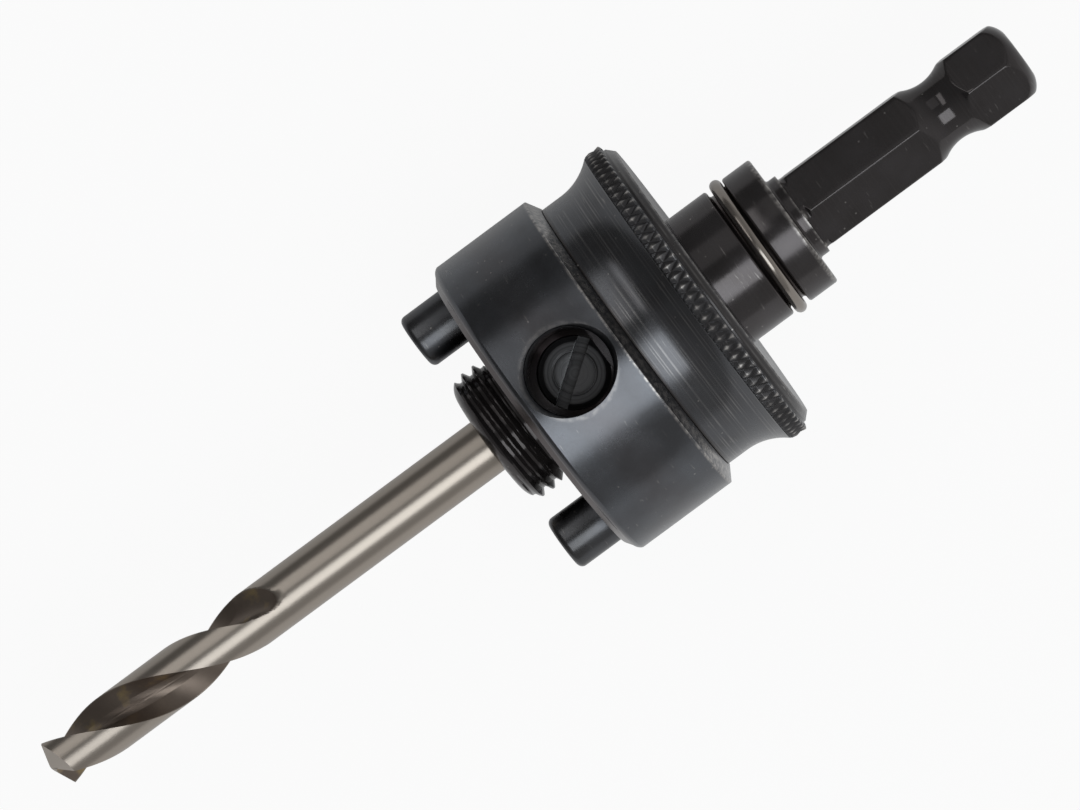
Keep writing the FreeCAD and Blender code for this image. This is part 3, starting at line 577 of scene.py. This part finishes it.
collar.data.materials.append(
    black_oxide(
        "black_oxide_collar_steel",
        ("#58595c", "#626468"),
        rough=0.24,
        # the second worn place covers the whole rear bevel, whose grey is a painted highlight
        worn_and_lit=[(COLLAR_REAR - 0.95, COLLAR, 0.3, 0.6), (COLLAR_REAR - 0.45, COLLAR - 0.75, 1.1, 0.6)],
        # the rim round the screwdriver's hole gets the same grey as a painted highlight
        rim_glints=[(ACCESS + 0.4, COLLAR - 0.1, 0.4, 0.14)],
        oily_and_shaded=[(COLLAR_REAR, COLLAR - 1.9, 0.4, 0.8)],
        browned_and_reflected=[(COLLAR_FRONT + 0.1, COLLAR - 1.2, 1.5, 0.6), (SCREW_X, BOSS + 1, 6.6, 0.6)],
    )
)
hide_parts("drive_collar")
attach(collar, "collar")


# Set screw. A short slotted screw of blacked steel that clamps the pilot drill; its end was faced on
# a lathe, which left rings round its middle.
screw_low, screw_high = (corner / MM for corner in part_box("pilot_set_screw"))
SCREW, SCREW_TOP, SCREW_POINT = screw_high.y, screw_high.z, screw_low.z
SLOT_WIDTH, SLOT_DEPTH, SLOT_TURN, SLOT_ASIDE = 1.3, 1.2, math.radians(36), 0.25
STEP, STEP_RADIUS = 0.08, 2.35
screw_outline = rounded(
    [
        (SCREW_POINT, 0.01),
        (SCREW_POINT, 2.5),
        (SCREW_POINT + 1.45, SCREW),
        (SCREW_TOP - 0.5, SCREW),
        (SCREW_TOP, SCREW - 0.6),
        (SCREW_TOP, STEP_RADIUS + 0.15),
        (SCREW_TOP - STEP, STEP_RADIUS),
        (SCREW_TOP - STEP, 0.01),
    ],
    0.1,
)
screw = skin("slotted_screw", upright(screw_outline))
half = SLOT_WIDTH / 2
slot_right = [(half, -SLOT_DEPTH), (half, -0.12), (half + 0.1, -STEP), (half + 0.1, 2)]
slot_section = [(-half, -SLOT_DEPTH), *slot_right, *[(-across, up) for across, up in slot_right[:0:-1]]]
slot_rings = [[(x, across, SCREW_TOP + up) for across, up in slot_section] for x in (-6, 6)]
slot = skin("slot", slot_rings)
slot.data.transform(Matrix.Translation((0, SLOT_ASIDE * MM, 0)))
slot.data.transform(Matrix.Translation((SCREW_X * MM, 0, 0)) @ Matrix.Rotation(SLOT_TURN, 4, "Z"))
cut_away(screw, slot)
screw.data.set_sharp_from_angle(angle=math.radians(30))

# blacked screw steel: a dull grey with fine rings where the end was faced
blacked, tree, main = shader("thin_black_oxide_screw_steel")
place = add(tree, "ShaderNodeTexCoord").outputs["Object"]
centred = add(tree, "ShaderNodeVectorMath", place, (SCREW_X * MM, 0, 0), operation="SUBTRACT")
flat = add(tree, "ShaderNodeVectorMath", centred, (1, 1, 0), operation="MULTIPLY")
from_middle = add(tree, "ShaderNodeVectorMath", flat, operation="LENGTH").outputs["Value"]
facing = add(tree, "ShaderNodeTexNoise", noise_dimensions="1D", named={"W": from_middle, "Scale": 2500.0})
shade = add(tree, "ShaderNodeMapRange", facing, 0.35, 0.65)
tones = {"A": linear("#3d3d3e"), "B": linear("#555556")}
shade = add(tree, "ShaderNodeMix", shade, data_type="RGBA", named=tones)
rough = add(tree, "ShaderNodeMapRange", facing, 0.3, 0.7, 0.26, 0.42)
bump = add(tree, "ShaderNodeBump", 0.7, 0.012 * MM, named={"Height": facing})
fill(tree, main, {"Base Color": shade, "Metallic": 0.7, "Roughness": rough, "Normal": bump})
screw.data.materials.append(blacked)
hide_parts("pilot_set_screw")
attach(screw, "arbor")


# Drive pins. Two hardened steel pins, ground and blacked, their shanks pressed into the collar up to
# the shoulder; they turn the hole saw.
def turned(name, outline, around=256):
    """A piece turned about the arbor's axis, from (along, radius) points."""
    outline = np.asarray(outline)
    angles = np.arange(around) * 2 * math.pi / around
    return skin(name, polar(outline[:, :1], np.maximum(outline[:, 1:], 1e-4), angles[None, :]))


PIN, PIN_ROUND = 3.175, 0.7
pin_steel = black_oxide("black_oxide_pin_steel", ("#525253", "#5c5d60"))
for node in ("drive_pin_left", "drive_pin_right"):
    low, high = (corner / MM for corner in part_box(node))
    middle = (low.y + high.y) / 2
    front = arc((low.x, PIN - PIN_ROUND), (low.x + PIN_ROUND, PIN), -PIN_ROUND, 8)
    shoulder = [(low.x + PIN_ROUND, PIN), (COLLAR_FRONT, PIN), (COLLAR_FRONT, PIN_SHANK)]
    shank = rounded([*shoulder, (high.x, PIN_SHANK), (high.x, 0.01)], 0.15)
    pin = turned(node.replace("drive_pin", "pin"), [(low.x, 0.01), *front, *shank[1:]], 128)
    pin.data.transform(Matrix.Translation((0, middle * MM, 0)))
    pin.data.materials.append(pin_steel)
    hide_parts(node)
    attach(pin, "collar")


# Pull sleeve. Turned steel pressed on the collar's spigot, flared to a rim that fingers pull back;
# the rim is rolled with a diamond knurl, and its rear wall runs on the barrel.
sleeve_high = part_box("pull_sleeve")[1] / MM
GRIP, SLEEVE_FRONT, SLEEVE_REAR = sleeve_high.z, COLLAR - 1.8, sleeve_high.x
FLARE_START, FLARE_END, FLARE_ARC = COLLAR_REAR + 2.5, COLLAR_REAR + 7.0, 6.7
GRIP_END, GRIP_DROP, REAR_BEVEL, REAR_WALL = FLARE_END + 2.1, 0.75, 0.8, 1.4
flare_top = SLEEVE_FRONT + FLARE_ARC - math.sqrt(FLARE_ARC**2 - (FLARE_END - FLARE_START) ** 2)
KNURL_FLOOR = GRIP - 0.32
front_corner = [(COLLAR_REAR, SPIGOT), (COLLAR_REAR, SLEEVE_FRONT), (FLARE_START, SLEEVE_FRONT)]
rear_corners = [
    (FLARE_END, flare_top),
    (FLARE_END, KNURL_FLOOR),
    (GRIP_END, KNURL_FLOOR),
    (GRIP_END, GRIP - GRIP_DROP),
    (SLEEVE_REAR - REAR_BEVEL, GRIP - GRIP_DROP),
    (SLEEVE_REAR, GRIP - GRIP_DROP - REAR_BEVEL),
    (SLEEVE_REAR, SLIDE),
    (SLEEVE_REAR - REAR_WALL, SLIDE),
    (SLEEVE_REAR - REAR_WALL, SPIGOT),
]
flare = arc((FLARE_START, SLEEVE_FRONT), (FLARE_END, flare_top), FLARE_ARC)
front, rear = rounded(front_corner, 0.12)[:-1], rounded(rear_corners, 0.1)[1:]
sleeve_outline = [rear_corners[-1], *front, *flare, *rear]
sleeve = turned_ring("flared_sleeve", sleeve_outline, 288)
sleeve_steel = black_oxide(
    "black_oxide_sleeve_steel",
    ("#565658", "#606164"),
    rough=0.24,
    worn_and_lit=[(SLEEVE_REAR, GRIP - GRIP_DROP - REAR_BEVEL, 0.3, 0.35), (SLEEVE_REAR, SLIDE, 0.3, 0.4)],
    oily_and_shaded=[(COLLAR_REAR, SLEEVE_FRONT, 0.5, 0.9), (GRIP_END + 0.7, GRIP - GRIP_DROP, 1.3, 0.8)],
    streaks=0.2,
)
sleeve.data.materials.append(sleeve_steel)
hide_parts("pull_sleeve")
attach(sleeve, "collar")


# The knurl on the sleeve's rim: two families of grooves, rolled in at opposite slants, leave two rows
# of diamonds. It is part of the sleeve, and so of the same blacked steel with its points rubbed bare.
def node_tree(name, inputs):
    """A Geometry Nodes tree with these named sizes, its group input and its group output."""
    tree = bpy.data.node_groups.new(name, "GeometryNodeTree")
    for label, kind in inputs.items():
        tree.interface.new_socket(label, in_out="INPUT", socket_type="NodeSocket" + kind)
    tree.interface.new_socket("Geometry", in_out="OUTPUT", socket_type="NodeSocketGeometry")
    return tree, add(tree, "NodeGroupInput").outputs, add(tree, "NodeGroupOutput")


def grown(name, tree, sizes):
    """The plain mesh that a tree makes from these sizes."""
    holder = bpy.data.objects.new(name, bpy.data.meshes.new(name))
    bpy.context.scene.collection.objects.link(holder)
    modifier = holder.modifiers.new("grow", "NODES")
    modifier.node_group = tree
    identifiers = {item.name: item.identifier for item in tree.interface.items_tree if item.in_out == "INPUT"}
    for label, value in sizes.items():
        modifier[identifiers[label]] = value
    bpy.context.view_layer.update()
    mesh = bpy.data.meshes.new_from_object(holder.evaluated_get(bpy.context.evaluated_depsgraph_get()))
    holder.modifiers.remove(modifier)
    holder.data = mesh
    return holder


# the place given at the knurl's floor darkens the grooves between the diamonds: painted shade
knurl_steel = black_oxide(
    "black_oxide_knurled_steel", ("#565658", "#606164"), oily_and_shaded=[(FLARE_END + 1.05, KNURL_FLOOR, 1.6, 0.6)]
)
tree, sizes, result = node_tree(
    "diamond_knurl",
    {"Front": "Float", "Length": "Float", "Floor": "Float", "Height": "Float", "Diamonds": "Int",
     "Diamond length": "Float", "First peak": "Float"},
)
DIAMONDS, COLUMNS, IN_DIAMOND, KNURL_WALL = 88, 30, 14, 0.2
band = add(tree, "GeometryNodeMeshGrid", COLUMNS - 1.0, 1.0, COLUMNS, DIAMONDS * IN_DIAMOND + 1)
spot = add(tree, "ShaderNodeSeparateXYZ", add(tree, "GeometryNodeInputPosition"))
turns = add(tree, "ShaderNodeMath", spot.outputs["Y"], 0.5, operation="ADD")

# the first column and the last two lie inside the rim and close the ring; the others carry the knurl
column = add(tree, "ShaderNodeMath", spot.outputs["X"], (COLUMNS - 1) / 2, operation="ADD")
share = add(tree, "ShaderNodeMapRange", column, 1.0, COLUMNS - 3.0)
closing = add(tree, "ShaderNodeMath", column, COLUMNS - 1.5, operation="LESS_THAN")
share = add(tree, "ShaderNodeMath", share, closing, operation="MULTIPLY")
from_middle = add(tree, "ShaderNodeMath", column, COLUMNS / 2 - 1.0, operation="SUBTRACT")
from_middle = add(tree, "ShaderNodeMath", from_middle, operation="ABSOLUTE")
inside = add(tree, "ShaderNodeMath", from_middle, COLUMNS / 2 - 1.5, operation="GREATER_THAN")
along = add(tree, "ShaderNodeMath", share, sizes["Length"], sizes["Front"], operation="MULTIPLY_ADD")
around = add(tree, "ShaderNodeMath", turns, sizes["Diamonds"], operation="MULTIPLY")
from_peak = add(tree, "ShaderNodeMath", along, sizes["First peak"], operation="SUBTRACT")
slant = add(tree, "ShaderNodeMath", from_peak, sizes["Diamond length"], operation="DIVIDE")

# each diamond is the lower of two waves, one for either family of grooves
waves = []
for operation in ("ADD", "SUBTRACT"):
    across = add(tree, "ShaderNodeMath", around, slant, operation=operation)
    across = add(tree, "ShaderNodeMath", across, 0.5, operation="ADD")
    waves.append(add(tree, "ShaderNodeMath", across, 0.5, operation="PINGPONG"))
lower = add(tree, "ShaderNodeMath", *waves, operation="MINIMUM")
lower = add(tree, "ShaderNodeMath", lower, 2.0, operation="MULTIPLY")
height = add(tree, "ShaderNodeMath", lower, 0.75, operation="POWER")
rubbed = add(tree, "ShaderNodeMapRange", height, 0.65, 0.95, 0.0, 1.0)
marked = add(tree, "GeometryNodeStoreNamedAttribute", band, None, "rubbed", rubbed)

# the knurl falls to its floor at both ends, so it meets the sleeve there
ends = add(tree, "ShaderNodeMath", share, 0.5, operation="PINGPONG")
ends = add(tree, "ShaderNodeMath", ends, 18.0, operation="MULTIPLY", use_clamp=True)
raised = add(tree, "ShaderNodeMath", height, ends, operation="MULTIPLY")
raised = add(tree, "ShaderNodeMath", raised, sizes["Height"], sizes["Floor"], operation="MULTIPLY_ADD")
raised = add(tree, "ShaderNodeMath", inside, -KNURL_WALL * MM, raised, operation="MULTIPLY_ADD")
angle = add(tree, "ShaderNodeMath", turns, 2 * math.pi, operation="MULTIPLY")
sides = []
for operation in ("COSINE", "SINE"):
    side = add(tree, "ShaderNodeMath", angle, operation=operation)
    sides.append(add(tree, "ShaderNodeMath", raised, side, operation="MULTIPLY"))
placed = add(tree, "ShaderNodeCombineXYZ", along, *sides)
wrapped = add(tree, "GeometryNodeSetPosition", marked, None, placed)
joined = add(tree, "GeometryNodeMergeByDistance", wrapped, None, 0.01 * MM)
outward = add(tree, "GeometryNodeFlipFaces", joined)
real = add(tree, "GeometryNodeRealizeInstances", outward)
fill(tree, result, {0: add(tree, "GeometryNodeSetMaterial", real, None, knurl_steel)})
knurl = grown(
    "diamond_knurl",
    tree,
    {"Front": FLARE_END * MM, "Length": 2.1 * MM, "Floor": (KNURL_FLOOR - 0.02) * MM,
     "Height": (GRIP - KNURL_FLOOR + 0.02) * MM, "Diamonds": DIAMONDS, "Diamond length": 2.4 * MM,
     "First peak": (FLARE_END + 0.7) * MM},
)
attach(knurl, "collar")


# Stop ring. Bright stainless spring wire bent to a split ring, snapped into the barrel's groove,
# where it lies a little askew and stops the sleeve.
ring_low, ring_high = (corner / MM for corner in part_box("stop_ring"))
WIRE, RING_ASKEW, RING_FORWARD = 1.4, -1.1, 0.12
RING_TURN = (ring_high.z - ring_low.z - WIRE) / 2

# drawn stainless wire: bright and a little warm, its highlight narrow and slightly broken
bright, tree, main = shader("bright_stainless_wire")
place = add(tree, "ShaderNodeTexCoord").outputs["Object"]
drawn = add(tree, "ShaderNodeTexNoise", place, named={"Scale": 2000.0, "Detail": 3.0})
rough = add(tree, "ShaderNodeMapRange", drawn, 0.3, 0.7, 0.14, 0.24)
fill(tree, main, {"Base Color": linear("#968f88"), "Metallic": 1.0, "Roughness": rough})

# an arc with a small split, swept with the wire's round section
tree, sizes, result = node_tree("wire_ring", {"Radius": "Float", "Wire": "Float", "Split": "Float"})
sweep = add(tree, "ShaderNodeMath", 2 * math.pi, sizes["Split"], operation="SUBTRACT")
start = add(tree, "ShaderNodeMath", sizes["Split"], 0.5, -math.pi / 2, operation="MULTIPLY_ADD")
bend = add(tree, "GeometryNodeCurveArc",
           named={"Resolution": 192, "Radius": sizes["Radius"], "Start Angle": start, "Sweep Angle": sweep})
half = add(tree, "ShaderNodeMath", sizes["Wire"], 0.5, operation="MULTIPLY")
section = add(tree, "GeometryNodeCurvePrimitiveCircle", named={"Resolution": 32, "Radius": half})
swept = add(tree, "GeometryNodeCurveToMesh", bend, section, named={"Fill Caps": True})
real = add(tree, "GeometryNodeRealizeInstances", swept)
fill(tree, result, {0: add(tree, "GeometryNodeSetMaterial", real, None, bright)})
ring = grown("wire_ring", tree, {"Radius": RING_TURN * MM, "Wire": WIRE * MM, "Split": math.radians(8)})
middle = ((ring_low.x + ring_high.x) / 2 - RING_FORWARD) * MM
stand_up = Matrix(((0, 0, 1, 0), (1, 0, 0, 0), (0, 1, 0, 0), (0, 0, 0, 1)))
askew = Matrix.Rotation(math.radians(RING_ASKEW), 4, "Z")
ring.data.transform(Matrix.Translation((middle, 0, 0)) @ askew @ stand_up)
ring.data.shade_smooth()
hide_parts("stop_ring")
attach(ring, "arbor")


# Return spring. Plain spring wire wound as a cone, which lies between the collar and its washer and
# nests flat when the sleeve is pulled back.
SPRING_WIRE, SPRING_WIDE, SPRING_NARROW, SPRING_END = 0.9, 12.3, 9.4, 20.8

# drawn spring steel: plain grey under a film of oil, which shines here and there
plain, tree, main = shader("drawn_spring_steel")
place = add(tree, "ShaderNodeTexCoord").outputs["Object"]
oil = add(tree, "ShaderNodeTexNoise", place, named={"Scale": 670.0})
rough = add(tree, "ShaderNodeMapRange", oil, 0.3, 0.7, 0.3, 0.42)
fill(tree, main, {"Base Color": linear("#5b5856"), "Metallic": 1.0, "Roughness": rough})

# a spiral that narrows and rises at once, swept with the wire's round section
tree, sizes, result = node_tree(
    "conical_spring",
    {"Turns": "Float", "Wide end": "Float", "Narrow end": "Float", "Length": "Float", "Wire": "Float"},
)
coil = add(
    tree,
    "GeometryNodeCurveSpiral",
    named={"Resolution": 64, "Rotations": sizes["Turns"], "Start Radius": sizes["Wide end"],
           "End Radius": sizes["Narrow end"], "Height": sizes["Length"]},
)
half = add(tree, "ShaderNodeMath", sizes["Wire"], 0.5, operation="MULTIPLY")
section = add(tree, "GeometryNodeCurvePrimitiveCircle", named={"Resolution": 16, "Radius": half})
swept = add(tree, "GeometryNodeCurveToMesh", coil, section, named={"Fill Caps": True})
real = add(tree, "GeometryNodeRealizeInstances", swept)
fill(tree, result, {0: add(tree, "GeometryNodeSetMaterial", real, None, plain)})
spring = grown(
    "conical_spring",
    tree,
    {"Turns": 3.0, "Wide end": SPRING_WIDE * MM, "Narrow end": SPRING_NARROW * MM,
     "Length": (SPRING_END - WEB_REAR - SPRING_WIRE - 0.1) * MM, "Wire": SPRING_WIRE * MM},
)
spring.data.transform(Matrix.Translation(((WEB_REAR + SPRING_WIRE / 2 + 0.05) * MM, 0, 0)) @ stand_up)
spring.data.shade_smooth()
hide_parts("return_spring")
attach(spring, "arbor")
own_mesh(spring)


# Spring washer and snap ring. Stamped spring steel, oiled; the ring snaps into a groove of the barrel
# inside the sleeve and holds the washer, which the spring bears on.
for node in ("spring_washer", "inner_snap_ring"):
    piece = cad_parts[node]
    piece.data.materials.clear()
    piece.data.materials.append(plain)


# The studio: a white paper floor that the arbor lies on, a wide soft light over the camera's lower
# edge, two weaker ones on the other side, and a room that is dark overhead.

# white paper: plain white to the eye, and mirrored darker so that it doesn't flood the steel; its mirrored
# glow is darker still on the side away from the key light, a painted shadow of the arbor
paper, tree, main = shader("white_paper")
fill(tree, main, {"Base Color": (0.82, 0.82, 0.82, 1), "Roughness": 0.9})
ray = add(tree, "ShaderNodeLightPath")
glow = add(tree, "ShaderNodeEmission", (1, 1, 1, 1), 1.0)
aside = add(tree, "ShaderNodeSeparateXYZ", add(tree, "ShaderNodeTexCoord").outputs["Object"]).outputs["Y"]
painted_shadow_glow = add(tree, "ShaderNodeMapRange", aside, -0.02, 0.03, 0.4, 0.12)
in_mirror = add(tree, "ShaderNodeMath", ray.outputs["Is Glossy Ray"], painted_shadow_glow, operation="MULTIPLY")
seen = add(tree, "ShaderNodeMath", ray.outputs["Is Camera Ray"], 0.93, in_mirror, operation="MULTIPLY_ADD")
fill(tree, tree.nodes["Material Output"], {"Surface": add(tree, "ShaderNodeMixShader", seen, main, glow)})
floor_mesh = bpy.data.meshes.new("floor")
corners = [(x, y, cad_low.z) for x, y in ((-3, -3), (3, -3), (3, 3), (-3, 3))]
floor_mesh.from_pydata(corners, [], [(0, 1, 2, 3)])
floor_mesh.materials.append(paper)
floor = bpy.data.objects.new("floor", floor_mesh)
bpy.context.scene.collection.objects.link(floor)
floor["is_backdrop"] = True

world = bpy.data.worlds.new("studio")
world.use_nodes = True
bpy.context.scene.world = world
tree = world.node_tree
ray = add(tree, "ShaderNodeLightPath")
direction = add(tree, "ShaderNodeSeparateXYZ", add(tree, "ShaderNodeTexCoord").outputs["Generated"])
near_side = add(tree, "ShaderNodeMapRange", direction.outputs["Y"], -1.0, 0.2, 0.36, 0.13)
shank_side = add(tree, "ShaderNodeMapRange", direction.outputs["X"], 0.2, 1.0, 0.0, 0.3)
low_sky = add(tree, "ShaderNodeMath", near_side, shank_side, operation="ADD")
strength = add(tree, "ShaderNodeMix", ray.outputs["Is Camera Ray"], named={"A": low_sky, "B": 1.0})
fill(tree, tree.nodes["Background"], {"Color": (1, 1, 1, 1), "Strength": strength})


def soft_light(name, place, size, power, colour=(1, 1, 1)):
    """A soft box here that faces the arbor's axis squarely; size is its length and its width."""
    lamp = bpy.data.lights.new(name, "AREA")
    lamp.shape, lamp.size, lamp.size_y, lamp.energy, lamp.color = "RECTANGLE", *size, power, colour
    box = bpy.data.objects.new(name, lamp)
    box.location = place
    box.rotation_euler = Vector((0, *place[1:])).to_track_quat("Z", "Y").to_euler()
    bpy.context.scene.collection.objects.link(box)


soft_light("key_box", (0.08, -0.477, 0.879), (0.66, 0.62), 3.1, (0.92, 0.965, 1.0))
soft_light("fill_box", (0.27, 0.615, 0.912), (0.5, 0.7), 0.25)
soft_light("drill_fill", (-0.2, 0.533, 0.962), (0.24, 0.85), 0.75)

# The camera stands 0.65 m above the arbor, opposite a place near the shank, with a long lens, and is
# rolled so that the shank points up to the right.
CAMERA_OVER, CAMERA_AWAY, CAMERA_ROUND = 38.5, 647.5, math.radians(4)
LOOKS_AT, LOOKS_UP = 1.4, 0.2
FOCAL_PIXELS, PICTURE_WIDTH = 6010, 1080
ROLL = math.radians(36.454)
camera_data = bpy.data.cameras.new("camera")
camera_data.sensor_width = 36
camera_data.lens = FOCAL_PIXELS / PICTURE_WIDTH * camera_data.sensor_width
camera_data.clip_start, camera_data.clip_end = 0.05, 20
camera = bpy.data.objects.new("camera", camera_data)
aside, above = -CAMERA_AWAY * math.sin(CAMERA_ROUND), CAMERA_AWAY * math.cos(CAMERA_ROUND)
place = Vector((CAMERA_OVER, aside, above)) * MM
target = Vector((LOOKS_AT, LOOKS_UP, 0)) * MM
back = (place - target).normalized()
level_right = (Vector((1, 0, 0)) - back * back.x).normalized()
level_up = back.cross(level_right)
right = level_right * math.cos(ROLL) - level_up * math.sin(ROLL)
up = level_right * math.sin(ROLL) + level_up * math.cos(ROLL)
camera.matrix_world = Matrix.Translation(place) @ Matrix((right, up, back)).transposed().to_4x4()
bpy.context.scene.collection.objects.link(camera)
bpy.context.scene.camera = camera
bpy.context.scene.view_settings.view_transform = "Standard"

low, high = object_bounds()
sizes = {"cad": [list(cad_low), list(cad_high)], "visual": [list(low), list(high)]}
